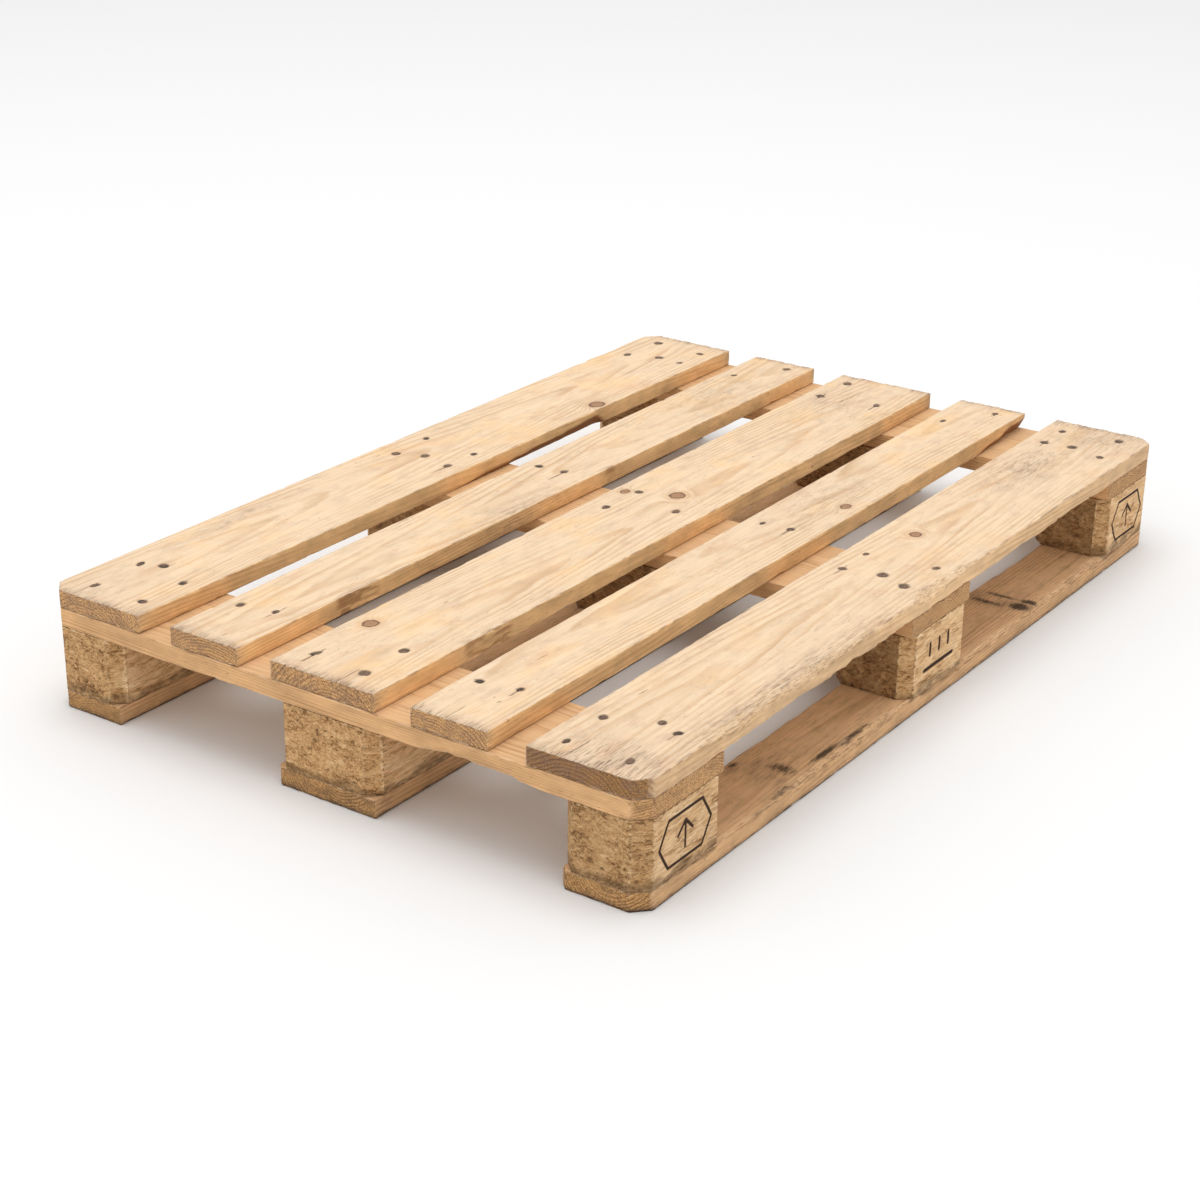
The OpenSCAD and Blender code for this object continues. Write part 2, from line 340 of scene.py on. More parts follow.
class Graph:
    """A material's node tree, written as plain calls."""

    def __init__(self, name):
        self.material = bpy.data.materials.new(name)
        self.material.use_nodes = True
        self.tree = self.material.node_tree
        self.tree.nodes.clear()

    def node(self, kind, inputs, **props):
        made = self.tree.nodes.new(kind)
        for key, value in props.items():
            setattr(made, key, value)
        for key, value in inputs.items():
            self.feed(made.inputs[key], value)
        return made

    def feed(self, socket, value):
        if isinstance(value, bpy.types.NodeSocket):
            self.tree.links.new(value, socket)
        elif socket.type == "VECTOR":
            socket.default_value = value[:3]
        else:
            socket.default_value = value

    def math(self, kind, a, b=0.0):
        return self.node("ShaderNodeMath", {0: a, 1: b}, operation=kind).outputs[0]

    def add(self, a, b):
        return self.math("ADD", a, b)

    def times(self, a, b):
        return self.math("MULTIPLY", a, b)

    def reading(self, name, kind="Fac"):
        """The paint or the grain place kept on the mesh."""
        made = self.node("ShaderNodeAttribute", {}, attribute_name=name,
                         attribute_type="GEOMETRY")
        return made.outputs[kind]

    def stretch(self, vector, sizes, shift):
        """Places divided by sizes in millimetres, and moved so that no two woods match."""
        scale = tuple(1 / s for s in sizes)
        offset = (shift, shift * 1.7, shift * 0.6)
        made = self.node("ShaderNodeVectorMath", {0: vector, 1: scale, 2: offset},
                         operation="MULTIPLY_ADD")
        return made.outputs[0]

    def noise(self, vector, sizes, shift, detail=2.0, rough=0.5):
        inputs = {"Vector": self.stretch(vector, sizes, shift), "Scale": 1.0,
                  "Detail": detail, "Roughness": rough}
        return self.node("ShaderNodeTexNoise", inputs).outputs["Fac"]

    def vector(self, x, y, z=0.0):
        return self.node("ShaderNodeCombineXYZ", {0: x, 1: y, 2: z}).outputs[0]

    def length(self, vector):
        return self.node("ShaderNodeVectorMath", {0: vector}, operation="LENGTH").outputs["Value"]

    def ramp(self, value, stops):
        made = self.node("ShaderNodeValToRGB", {0: value})
        parts = made.color_ramp.elements
        while len(parts) < len(stops):
            parts.new(0.5)
        for part, (at, colour) in zip(parts, stops):
            part.position = at
            part.color = colour if isinstance(colour, tuple) else (*[colour] * 3, 1.0)
        return made.outputs[0]

    def ease(self, value, lo, hi, out_lo=0.0, out_hi=1.0):
        """A smooth step from out_lo at lo to out_hi at hi."""
        inputs = {0: value, 1: lo, 2: hi, 3: out_lo, 4: out_hi}
        return self.node("ShaderNodeMapRange", inputs, interpolation_type="SMOOTHSTEP").outputs[0]

    def mix(self, share, a, b):
        """From colour a, where share is 0, to colour b, where it is 1."""
        made = self.node("ShaderNodeMix", {}, data_type="RGBA")
        for socket, value in zip((made.inputs[0], made.inputs[6], made.inputs[7]), (share, a, b)):
            self.feed(socket, value)
        return made.outputs[2]

    def bright(self, colour, factor):
        made = self.node("ShaderNodeVectorMath", {0: colour, "Scale": factor}, operation="SCALE")
        return made.outputs[0]

    def finish(self, colour, roughness, height, relief, metal=0.0):
        """Ends the material; relief is how far height raises the surface, in millimetres."""
        bump = self.node("ShaderNodeBump", {"Height": height, "Strength": 1.0,
                                            "Distance": relief * MM})
        shader = self.node("ShaderNodeBsdfPrincipled", {
            "Base Color": colour, "Roughness": roughness, "Normal": bump.outputs[0],
            "Metallic": metal, "Specular IOR Level": 0.25})
        self.node("ShaderNodeOutputMaterial", {"Surface": shader.outputs[0]})
        return self.material


# Early and late wood on the top, on the long sides and on the ends; then dirt (on the
# skids also painted contact shade along their feet), how strongly the rings show, and
# how thick a veil the dirt and painted shade make.
DECK = dict(early="E3C9A9", late="C0966A", side_early="E7BE88", side_late="BC8B5A",
            end_early="E3B075", end_late="96693C", dirt="84685A", contrast=0.62, veil=0.42)
RIGHT_DECK = dict(DECK, side_early="DDB88C", side_late="B28556",
                  end_early="AA7C48", end_late="5C3C1E")
STRINGER = dict(early="D9B184", late="B5875A", side_early="DAAC7A", side_late="AC7F51",
                end_early="C89B69", end_late="94693F", dirt="745840", contrast=0.75, veil=0.6)
SKID = dict(early="ECC293", late="B98A5E", side_early="D8AD7F", side_late="A0744A",
            end_early="C4955F", end_late="7C5835", dirt="463830", contrast=0.75, veil=0.6)
# What all the wood shares: patches, pores, knots, edges, bark, stains, cracks, and the
# painted contact shade along the skids' feet.
CLOUD, PORE, FLECK, OPEN_GRAIN = "CFA585", "835B38", "6E4A2E", "5A3F28"
KNOT_LIGHT, KNOT_DARK, KNOT_RING = "B98B64", "6E4630", "7A4E33"
KNOT_HALO, KNOT_RIM = "B98455", "4A2C1B"
EDGE_PALE, BARK_DARK, BARK_LIGHT = "F2DFC4", "542C15", "A4683A"
NAIL_STAIN, SPILL_AND_SHADE_VEIL, SPILL_AND_SHADE, CRACK = "452E20", "6B5340", "33291F", "45301F"


def wood(name, log, tones, grey):
    """Sawn softwood: rings about a pith line at (u, w), cut by the mesh's own faces.

    log gives the seed, the pith line, the rings' spacing, how far they drift for each
    millimetre along the board (taper) and the knots as (u, v, half width, half length).
    grey is how strongly the whole surface is smeared with dirt.
    """
    g = Graph(name)
    t = {k: tone(v) for k, v in tones.items() if isinstance(v, str)}
    pith, ring, taper = log["pith"], log["ring"], log["taper"]
    knots = log.get("knots", ())
    shift = log["seed"] * 3.17
    grain = g.reading("grain", "Vector")
    split = g.node("ShaderNodeSeparateXYZ", {0: grain})
    u, v, w = split.outputs
    far = g.add(g.times(g.noise(grain, (70, 480, 70), shift, 1.0), 22.0), -11.0)
    near = g.add(g.times(g.noise(grain, (22, 150, 22), shift + 5, 2.0), 4.4), -2.2)
    across = g.add(g.add(u, -pith[0]), far)
    up = g.add(w, -pith[1])
    r = g.add(g.length(g.vector(across, 0.0, up)), g.add(g.times(v, taper), near))
    core, core_ring, halo, knot_at = 0.0, 0.0, 0.0, 9.0
    for ku, kv, ka, kb in knots:
        at = g.vector(g.times(g.add(u, -ku), 1 / ka), g.times(g.add(v, -kv), 1 / kb))
        wobble = g.times(g.noise(grain, (5, 7, 30), shift + ku, 2.0), 0.5)
        e = g.add(g.length(at), g.add(wobble, -0.25))
        push = g.math("POWER", 2.718, g.times(g.times(e, e), -0.35))
        r = g.add(r, g.times(push, 2.6 * ring + 0.4 * ka))
        knot_at = g.math("MINIMUM", knot_at, e)
        core = g.math("MAXIMUM", core, g.ease(e, 1.08, 0.86))
        off_rim = g.math("ABSOLUTE", g.add(e, -1.0))
        core_ring = g.math("MAXIMUM", core_ring, g.ease(off_rim, 0.24, 0.02))
        halo = g.math("MAXIMUM", halo, g.ease(e, 2.6, 1.0))
    years = g.noise(g.vector(r, g.times(v, 0.02)), (11, 11, 11), shift + 9, 1.0)
    uneven = g.times(g.add(years, -0.5), 1.6)
    phase = g.math("FRACT", g.add(g.times(r, 1 / ring), uneven))
    late = g.ramp(phase, [(0.0, 0.0), (0.42, 0.08), (0.84, 1.0), (0.93, 0.7), (1.0, 0.0)])
    fade = g.ease(g.noise(grain, (30, 260, 30), shift + 2, 2.0), 0.36, 0.66, 0.18, 1.0)
    fibre = g.noise(grain, (1.1, 42, 1.1), shift + 3, 3.0, 0.7)
    hair = g.ease(g.noise(grain, (1.9, 75, 1.9), shift + 16, 2.0, 0.6), 0.5, 0.7)
    streak = g.noise(grain, (7, 200, 7), shift + 4, 2.0)
    blotch = g.noise(grain, (48, 105, 48), shift + 6, 3.0, 0.55)
    cloud = g.noise(grain, (26, 60, 26), shift + 17, 3.0, 0.6)
    crowd = g.ease(g.noise(grain, (45, 110, 45), shift + 14, 2.0), 0.42, 0.62)
    pore = g.ease(g.noise(grain, (1.2, 15, 1.2), shift + 7, 2.0, 0.6), 0.62, 0.76)
    pore = g.times(pore, crowd)
    fleck = g.ease(g.noise(grain, (2.4, 7.5, 2.4), shift + 15, 1.0), 0.77, 0.82)
    end, side = g.reading("end"), g.reading("side")
    lined = g.times(g.times(late, fade), tones["contrast"])
    face = g.mix(lined, t["early"], t["late"])
    face = g.mix(g.ease(blotch, 0.5, 0.72, 0.0, 0.5), face, t["side_early"])
    face = g.mix(g.ease(cloud, 0.52, 0.74, 0.0, 0.42), face, tone(CLOUD))
    face = g.mix(side, face, g.mix(lined, t["side_early"], t["side_late"]))
    bright = g.add(g.times(streak, 0.20), g.add(g.times(blotch, 0.14), 0.71))
    bright = g.add(g.times(fibre, 0.26), bright)
    face = g.bright(face, bright)
    face = g.bright(face, g.add(g.times(g.times(side, g.add(cloud, -0.5)), 0.9), 1.0))
    face = g.mix(g.times(hair, 0.2), face, t["late"])
    face = g.mix(g.times(pore, 0.7), face, tone(PORE))
    face = g.mix(g.times(fleck, 0.75), face, tone(FLECK))
    fresh = g.reading("fresh")
    bared = g.mix(0.5, t["side_early"], t["early"])
    bared = g.mix(g.ease(fibre, 0.3, 0.56), t["side_late"], bared)
    face = g.mix(g.times(fresh, 0.65), face, bared)
    # Across the grain: arcs, open pores, and a grey weathered skin.
    grit = g.noise(grain, (1.4, 3, 1.4), shift + 8, 3.0, 0.75)
    arcs = g.times(late, g.ease(blotch, 0.35, 0.6, 0.35, 0.9))
    sawn = g.mix(arcs, t["end_early"], t["end_late"])
    sawn = g.bright(sawn, g.add(g.times(grit, 3.5), -0.72))
    open_grain = g.ease(g.noise(grain, (0.9, 3, 0.9), shift + 18, 2.0, 0.6), 0.56, 0.68)
    sawn = g.mix(g.times(open_grain, 0.6), sawn, tone(OPEN_GRAIN))
    worn_end = g.noise(grain, (26, 30, 9), shift + 11, 2.0)
    skin = g.bright(t["dirt"], g.add(grit, 0.45))
    sawn = g.mix(g.ease(worn_end, 0.45, 0.72, 0.0, 0.35), sawn, skin)
    face = g.mix(end, face, sawn)
    if knots:
        mottled = g.noise(grain, (1.6, 2.2, 9), shift, 3.0, 0.7)
        inner = g.mix(mottled, tone(KNOT_LIGHT), tone(KNOT_DARK))
        rings = g.ease(g.math("SINE", g.times(knot_at, 17.0)), 0.0, 1.0, 0.0, 0.6)
        inner = g.mix(rings, inner, tone(KNOT_RING))
        face = g.mix(g.times(halo, 0.3), face, tone(KNOT_HALO))
        face = g.mix(g.times(core, 0.8), face, inner)
        face = g.mix(g.times(core_ring, 0.8), face, tone(KNOT_RIM))
    # Wear and dirt, with painted contact shade along the skids' feet.
    edge = g.reading("edge")
    nicks = g.noise(grain, (5, 22, 5), shift + 12, 3.0, 0.6)
    dirty_edge = g.times(g.ease(edge, 0.45, 1.0), g.ease(nicks, 0.5, 0.66, 0.0, 0.55))
    face = g.mix(dirty_edge, face, t["dirt"])
    pale_edge = g.times(g.ease(edge, 0.6, 1.0), g.ease(nicks, 0.5, 0.34, 0.0, 0.3))
    face = g.mix(pale_edge, face, tone(EDGE_PALE))
    smear = g.ease(g.noise(grain, (13, 34, 13), shift + 13, 5.0, 0.68), 0.46, 0.72)
    painted = g.times(g.reading("grime"), g.add(g.times(fresh, -0.9), 1.0))
    soft = g.ease(g.noise(grain, (24, 55, 24), shift + 22, 2.0), 0.34, 0.62, 0.3, 1.0)
    veil = g.add(g.times(soft, tones["veil"]), g.times(smear, 0.35))
    grime = g.add(g.times(painted, veil), g.times(smear, grey))
    grime = g.math("MINIMUM", grime, 1.0)
    face = g.mix(g.times(grime, 0.62), face, t["dirt"])
    drawn = g.ease(g.noise(grain, (1.5, 17, 1.5), shift + 19, 2.0, 0.6), 0.5, 0.64)
    face = g.mix(g.times(g.times(painted, drawn), 0.6), face, tone(tones["dirt"], 0.45))
    face = g.mix(g.times(g.times(fresh, drawn), 0.4), face, tone(tones["dirt"], 0.7))
    bark = g.mix(grit, tone(BARK_DARK), tone(BARK_LIGHT))
    face = g.mix(g.times(g.reading("bark"), 0.9), face, bark)
    stain = g.times(g.reading("stain"), g.ease(fibre, 0.2, 0.7, 0.55, 0.95))
    face = g.mix(stain, face, tone(NAIL_STAIN))
    ragged = g.add(g.noise(grain, (3, 12, 3), shift + 21, 4.0, 0.7), -0.5)
    # Dark spilled stains, and painted contact shade along the foot of each skid, come from one
    # paint.
    wet_and_shaded = g.reading("spill")
    face = g.mix(g.ease(wet_and_shaded, 0.02, 0.9, 0.0, 0.5), face, tone(SPILL_AND_SHADE_VEIL))
    spill = g.ease(g.add(wet_and_shaded, g.times(ragged, 1.4)), 0.22, 0.72, 0.0, 0.84)
    face = g.mix(g.times(spill, g.ease(wet_and_shaded, 0.02, 0.2)), face, tone(SPILL_AND_SHADE))
    face = g.mix(g.times(g.reading("crack"), 0.9), face, tone(CRACK))
    rise = g.add(g.times(fibre, 0.55), g.add(g.times(late, 0.35), g.times(g.times(grit, end), 2.2)))
    rise = g.add(rise, g.add(g.times(pore, -0.5), g.times(fleck, -0.5)))
    return g.finish(face, g.add(g.times(fibre, 0.25), 0.6), rise, 0.4)


# Pressed chips, from the darkest to the lightest, on the ends and on the long sides.
CHIP_ENDS = ((0.16, "7A5530"), (0.34, "AE8354"), (0.50, "C59967"),
             (0.70, "D2A876"), (0.95, "E4C494"))
CHIP_SIDES = ((0.12, "956C42"), (0.30, "CD9F6D"), (0.50, "E6BC8B"),
              (0.75, "F0CA9B"), (0.95, "FADEB4"))
CHIP_GAP, CHIP_SLIVER, CHIP_HOLLOW = "4B2F16", "7A5431", "4A3018"
# The grime colour is dirt at the blocks' feet and painted shade on the inner blocks' front faces.
CHIP_EDGE_DARK, CHIP_EDGE_PALE, CHIP_GRIME_AND_SHADE = "6B4C2C", "F0D4AA", "50391F"
BURN_DARK, BURN_LIGHT = "1C110B", "4A2E1C"
STEEL, RUST, STEEL_DARK = "5B4A3E", "8A6B52", "33281F"


def chips(name, seed, shade):
    """Pressed wood chips lying along v: grains on the ends, streaks on the sides."""
    g = Graph(name)
    shift = seed * 2.31
    grain = g.reading("grain", "Vector")
    warp = g.node("ShaderNodeTexNoise", {"Vector": g.stretch(grain, (9, 20, 7), shift),
                                         "Scale": 1.0, "Detail": 2.0})
    bent = g.node("ShaderNodeVectorMath", {0: warp.outputs["Color"], 1: (7.0, 9.0, 6.0), 2: grain},
                  operation="MULTIPLY_ADD").outputs[0]
    flakes = []
    for sizes, offset in (((2.6, 17, 1.6), 1.0), ((6.0, 32, 3.0), 4.0)):
        cell = g.node("ShaderNodeTexVoronoi", {"Vector": g.stretch(bent, sizes, shift + offset),
                                               "Scale": 1.0, "Randomness": 1.0})
        flakes.append(g.node("ShaderNodeSeparateXYZ", {0: cell.outputs["Color"]}).outputs[0])
    small, large = flakes
    side = g.reading("side")
    fine = g.noise(grain, (1.1, 8, 0.8), shift, 4.0, 0.7)
    mottle = g.noise(grain, (22, 40, 17), shift + 3, 3.0, 0.6)
    pick = g.add(g.times(small, 0.34), g.add(g.times(large, 0.30), g.times(fine, 0.36)))
    pick = g.add(pick, g.times(g.add(mottle, -0.5), 0.8))
    ends = g.ramp(pick, [(at, tone(code, shade)) for at, code in CHIP_ENDS])
    sides = g.ramp(pick, [(at, tone(code, shade)) for at, code in CHIP_SIDES])
    face = g.mix(side, ends, sides)
    gap = g.ease(g.noise(bent, (1.5, 9, 1.1), shift + 7, 2.0, 0.55), 0.61, 0.67)
    gap = g.times(gap, g.ease(mottle, 0.62, 0.4, 0.35, 1.0))
    face = g.mix(g.times(gap, g.add(g.times(side, -0.3), 0.8)), face, tone(CHIP_GAP))
    sliver = g.ease(g.noise(grain, (1.3, 26, 1.3), shift + 15, 2.0, 0.6), 0.6, 0.68)
    face = g.mix(g.times(g.times(sliver, side), 0.5), face, tone(CHIP_SLIVER))
    face = g.mix(g.times(g.reading("crack"), 0.7), face, tone(CHIP_HOLLOW))
    edge = g.reading("edge")
    frayed = g.noise(grain, (4, 6, 4), shift + 12, 3.0, 0.6)
    dark_edge = g.times(g.ease(edge, 0.3, 1.0), g.ease(frayed, 0.5, 0.64, 0.0, 0.6))
    face = g.mix(dark_edge, face, tone(CHIP_EDGE_DARK))
    pale_edge = g.times(g.ease(edge, 0.5, 1.0), g.ease(frayed, 0.5, 0.36, 0.0, 0.6))
    face = g.mix(pale_edge, face, tone(CHIP_EDGE_PALE))
    # Grime paint: dirt at the foot of each block, and painted shade on the shaded front faces.
    patchy = g.ease(g.noise(grain, (9, 18, 7), shift + 13, 4.0, 0.6), 0.3, 0.66, 0.3, 1.0)
    face = g.mix(g.times(g.times(g.reading("grime"), patchy), 0.74), face, tone(CHIP_GRIME_AND_SHADE))
    char = g.mix(fine, tone(BURN_DARK), tone(BURN_LIGHT))
    face = g.mix(g.ease(g.reading("burn"), 0.12, 0.75), face, char)
    rise = g.add(g.times(small, 0.8), g.add(g.times(fine, 0.6), g.times(gap, -1.3)))
    return g.finish(face, g.add(g.times(fine, 0.2), 0.68), rise, 0.7)


def old_steel():
    """Dull nail heads with brown spots and nearly black patches."""
    g = Graph("nail_steel")
    where = g.node("ShaderNodeTexCoord", {}).outputs["Object"]
    spots = g.noise(where, (0.0016, 0.0016, 0.0016), 0.0, 4.0, 0.65)
    patch = g.noise(where, (0.011, 0.011, 0.011), 2.0, 2.0)
    face = g.mix(g.ease(spots, 0.4, 0.62), tone(STEEL), tone(RUST))
    face = g.mix(g.ease(patch, 0.46, 0.6, 0.0, 0.75), face, tone(STEEL_DARK))
    return g.finish(face, g.add(g.times(spots, 0.3), 0.4), spots, 0.25, metal=0.3)


# ---------------------------------------------------------------- nails
HEAD_APART = 14        # points nearer each other than this belong to one nail head
HEAD_FLAT = 0.05       # how far a head's points may lie off its level


def heads(node, side):
    """(x, y, radius) of each nail head of a CAD node, on its top (1) or underside (-1)."""
    co = np.array([v.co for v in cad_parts[node].data.vertices]) / MM
    level = co[:, 2].max() if side > 0 else co[:, 2].min()
    found = []
    for x, y in co[np.abs(co[:, 2] - level) < HEAD_FLAT][:, :2]:
        for spot in found:
            if math.hypot(x - spot[0], y - spot[2]) < HEAD_APART:
                spot[:] = [min(spot[0], x), max(spot[1], x),
                           min(spot[2], y), max(spot[3], y)]
                break
        else:
            found.append([x, x, y, y])
    return [((a + b) / 2, (c + d) / 2, (b - a) / 2) for a, b, c, d in found]


top_nails = heads("long_nails", 1) + heads("clinch_nails", 1)
under_nails = heads("skid_nails", -1)
steel = old_steel()
for name in ("long_nails", "clinch_nails", "skid_nails"):
    nail_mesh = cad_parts[name].data
    nail_mesh.materials.clear()
    nail_mesh.materials.append(steel)


# ---------------------------------------------------------------- the pieces of wood
DENT_RIM = 0.3         # how far a dent reaches past its nail head
DENT_DEPTH = 1.15
PULL_SHARE = 0.6       # above this share a nail has split the wood around it
SPLIT_DEPTH = 3.2
BURN_DEPTH = 0.55
BOARD_STEPS = (2.3, 4.6, 2.4)      # grid steps across, along and up
STRINGER_STEPS = (3.2, 4.4, 2.4)
SKID_STEPS = (3.4, 5.2, 2.4)
NAIL_SPAN, SPLIT_SPAN = 7, 1.5     # half widths of the finer grid at a nail and at a split
LONG_WAVES = (30, 160, 14)     # waves in a sawn face across, along and up; large, then small
SHORT_WAVES = (7, 24, 7)


def nails_in(node, nails):
    """The nails whose heads lie over a CAD node."""
    (x0, y0, _), (x1, y1, _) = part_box(node)
    return [n for n in nails if x0 / MM < n[0] < x1 / MM and y0 / MM < n[1] < y1 / MM]


def on_ends(piece):
    """1 on the two sawn ends, 0 elsewhere."""
    return (piece.face(1, 1) | piece.face(1, -1)).astype(float)


def wear_long_edges(piece, amount, chips_per_edge):
    """Rounds and splinters the four edges that run with the grain."""
    v = piece.p[:, 1]
    for n, (su, sw) in enumerate(((1, 1), (-1, 1), (1, -1), (-1, -1))):
        seed = piece.seed + 40 + 7 * n
        loss = amount * (0.5 + 0.5 * wave(v, 70, seed)) + 0.35 * amount * wave(v, 13, seed + 1)
        loss += splinters(v, seed + 2, chips_per_edge, (12, 70), (0.4 * amount, 2.0 * amount))
        steep = 0.8 + 0.5 * hashed(n, piece.seed, 3, 5)
        piece.shave((su, 0, sw), np.maximum(loss, 0), steep)


def wear_ends(piece, amount):
    """Breaks the edges and the upright corners of both ends."""
    u, w = piece.p[:, 0], piece.p[:, 2]
    for sv in (1, -1):
        for sw in (1, -1):
            seed = piece.seed + 90 + 3 * sv + sw
            loss = 0.45 + 0.4 * wave(u, 9, seed) + 0.5 * np.abs(wave(u, 4.5, seed + 30))
            loss = amount * loss
            piece.shave((0, sv, sw), np.maximum(loss, 0), steep=1.3)
        for su in (1, -1):
            loss = amount * (0.4 + 0.5 * wave(w, 7, piece.seed + 70 + su + 3 * sv))
            piece.shave((su, sv, 0), np.maximum(loss, 0))


def fray(piece, count, depth):
    """Fibres torn out of the top face at both ends, running in with the grain."""
    u, v, w = piece.p.T
    top = piece.face(2, 1)
    rng = np.random.default_rng(piece.seed + 500)
    for sv in (1, -1):
        inward = np.abs((piece.hi[1] if sv > 0 else piece.lo[1]) - v)
        torn = np.zeros_like(u)
        for _ in range(count):
            middle = rng.uniform(piece.lo[0], piece.hi[0])
            half, long = rng.uniform(1.2, 3.6), rng.uniform(4, 17)
            shape = np.clip(1 - np.abs(u - middle) / half, 0, 1)
            shape = shape * np.clip(1 - inward / long, 0, 1)
            torn = np.maximum(torn, rng.uniform(0.4, 1.0) * shape)
        piece.p[:, 2] -= depth * torn * top
        piece.darken("crack", 0.45 * torn * top)


def spots(piece, marks):
    """Soft ovals of (u, v, half width, half length, strength), for grime and stains."""
    total = np.zeros(len(piece.p))
    for u, v, a, b, strength in marks:
        e = np.hypot((piece.p[:, 0] - u) / a, (piece.p[:, 1] - v) / b)
        total = np.maximum(total, strength * np.exp(-e * e))
    return total


# For each board: its log (see wood), its sawn corners, grime (see spots), splits as
# (u, v0, v1, width) and torn edges as (side, v0, v1, depth).
BOARDS = {
    "deck_board_left": dict(
        seed=11, pith=(-345, 62), ring=4.1, taper=0.026,
        cuts={(-1, -1): 18, (-1, 1): 18}, knots=[(-274, 281, 9, 12)],
        grime=[(-345, -560, 40, 60, 0.3), (-375, -330, 12, 120, 0.5)],
        splits=[(-362, -600, -550, 1.1), (-325, 480, 520, 0.8)], tears=[]),
    "deck_board_mid_left": dict(
        seed=23, pith=(-158, 50), ring=3.6, taper=-0.022, cuts={}, knots=[],
        grime=[(-125, -110, 25, 80, 0.6), (-170, 420, 50, 120, 0.4)],
        splits=[(-150, -600, -575, 0.9)],
        tears=[(1, -446, -362, 2.0), (1, 70, 104, 1.6)]),
    "deck_board_centre": dict(
        seed=37, pith=(14, 78), ring=4.3, taper=0.020, cuts={},
        knots=[(-46, -466, 8, 9), (-53, 27, 5, 7), (7, 53, 9, 10)],
        grime=[(0, 480, 60, 100, 0.3)],
        splits=[(20, -600, -560, 1.0), (-10, 470, 540, 0.8)],
        tears=[(1, -455, -362, 3.2)]),
    "deck_board_mid_right": dict(
        seed=41, pith=(140, 58), ring=3.7, taper=-0.019, cuts={},
        knots=[(192, 144, 6, 8)], grime=[(165, 150, 40, 120, 0.4)],
        splits=[(160, -600, -568, 0.9), (152, -440, -418, 1.1)], tears=[]),
    "deck_board_right": dict(
        seed=59, pith=(315, 70), ring=4.4, taper=0.022,
        cuts={(1, -1): 18, (1, 1): 18}, knots=[(304, 113, 6.5, 7.5)],
        grime=[(310, 400, 32, 80, 0.9), (386, -330, 11, 200, 0.9),
               (345, -575, 60, 40, 1.0), (345, 560, 60, 50, 0.6)],
        splits=[(303, -600, -535, 1.3), (345, -600, -566, 0.9), (286, -442, -408, 1.0)],
        tears=[]),
}


def rub_right_board(board):
    """The outer long edge that forks and loads have rubbed."""
    v = board.p[:, 1]
    rubbed = ease(v, -560, -420) * (1 - ease(v, 40, 160))
    loss = 2.8 + 2.4 * wave(v, 34, 5) + wave(v, 9, 7)
    loss = rubbed * (loss + splinters(v, 77, 30, (12, 60), (1.6, 5.4)))
    loss += (1 - rubbed) * (0.9 + 0.9 * wave(v, 24, 6))
    board.shave((1, 0, 1), np.maximum(loss, 0), steep=1.1, mark="fresh")
    loss = 1.2 + 1.6 * wave(v, 42, 15) + 0.8 * wave(v, 11, 16)
    loss += splinters(v, 78, 16, (10, 50), (1.0, 3.0))
    board.shave((1, 0, -1), np.maximum(loss, 0) * (1 - ease(np.abs(v), 440, 560)), steep=1.1)


def wane_left_board(board):
    """Bark on the lower inner edge, from the middle stringer rearward."""
    v = board.p[:, 1]
    loss = 5.6 * np.clip((v + 70) / 320, 0, 1) ** 0.8 * (1 - ease(v, 262, 286))
    loss *= 1 + 0.16 * wave(v, 60, 9) + 0.07 * wave(v, 13, 10)
    board.shave((1, 0, -1), np.maximum(loss, 0), steep=0.45, mark="bark")


def wane_mid_right_board(board):
    """Bark on the lower edge at the rear end."""
    v = board.p[:, 1]
    loss = ease(v, 430, 560) * (5.5 + 1.5 * wave(v, 40, 12) + 0.5 * wave(v, 11, 13))
    board.shave((1, 0, -1), np.maximum(loss, 0), steep=0.5, mark="bark")


OWN_EDGES = {"deck_board_right": rub_right_board, "deck_board_left": wane_left_board,
             "deck_board_mid_right": wane_mid_right_board}

for name, b in BOARDS.items():
    nails = nails_in(name, top_nails)
    spans_u = [(x, NAIL_SPAN, 1.9) for x, y, r in nails]
    spans_u += [(u, SPLIT_SPAN, 0.7) for u, v0, v1, width in b["splits"]]
    spans_v = [(y, NAIL_SPAN, 1.8) for x, y, r in nails]
    spans_v += [((v0 + v1) / 2, (v1 - v0) / 2, 1.9) for su, v0, v1, depth in b["tears"]]
    board = Piece(name, "y", b["seed"], BOARD_STEPS, (spans_u, spans_v, ()), b["cuts"],
                  radius=1.3)
    board.rough(0.5, LONG_WAVES, 3)
    board.rough(0.22, SHORT_WAVES, 4)
    board.rough(1.2, (5, 6, 3.8), 5, on_ends(board))
    board.rough(0.5, (60, 60, 3.2), 6, on_ends(board))
    wear_long_edges(board, 0.9, 14)
    wear_ends(board, 1.7)
    fray(board, 26, 1.4)
    if name in OWN_EDGES:
        OWN_EDGES[name](board)
    for tear in b["tears"]:
        board.tear(*tear)
    for n, (x, y, r) in enumerate(nails):
        board.dent(1, (x, y), r + DENT_RIM, DENT_DEPTH, 200 + n)
        pull = hashed(n, b["seed"], 1, 9)
        if pull > PULL_SHARE:
            long = 10 + 34 * hashed(n, b["seed"], 2, 9)
            v0, v1 = y - long * pull, y + long * (1.2 - pull)
            u = x + 1.5 * (pull - PULL_SHARE)
            board.split(1, u, v0, v1, width=1.5, depth=1.2, sway=0.6)
    for u, v0, v1, width in b["splits"]:
        board.split(1, u, v0, v1, width, SPLIT_DEPTH)
    tips = np.minimum(board.p[:, 1] - board.lo[1], board.hi[1] - board.p[:, 1])
    dirty_tip = 22 if name == "deck_board_right" else 12
    tip_dirt = 0.95 * np.exp(-(tips / dirty_tip) ** 2)
    board.paint["grime"] = np.maximum(spots(board, b["grime"]), tip_dirt)
    board.trim()
    tones = RIGHT_DECK if name == "deck_board_right" else DECK
    board.build(wood(name + "_look", b, tones, grey=0.3))

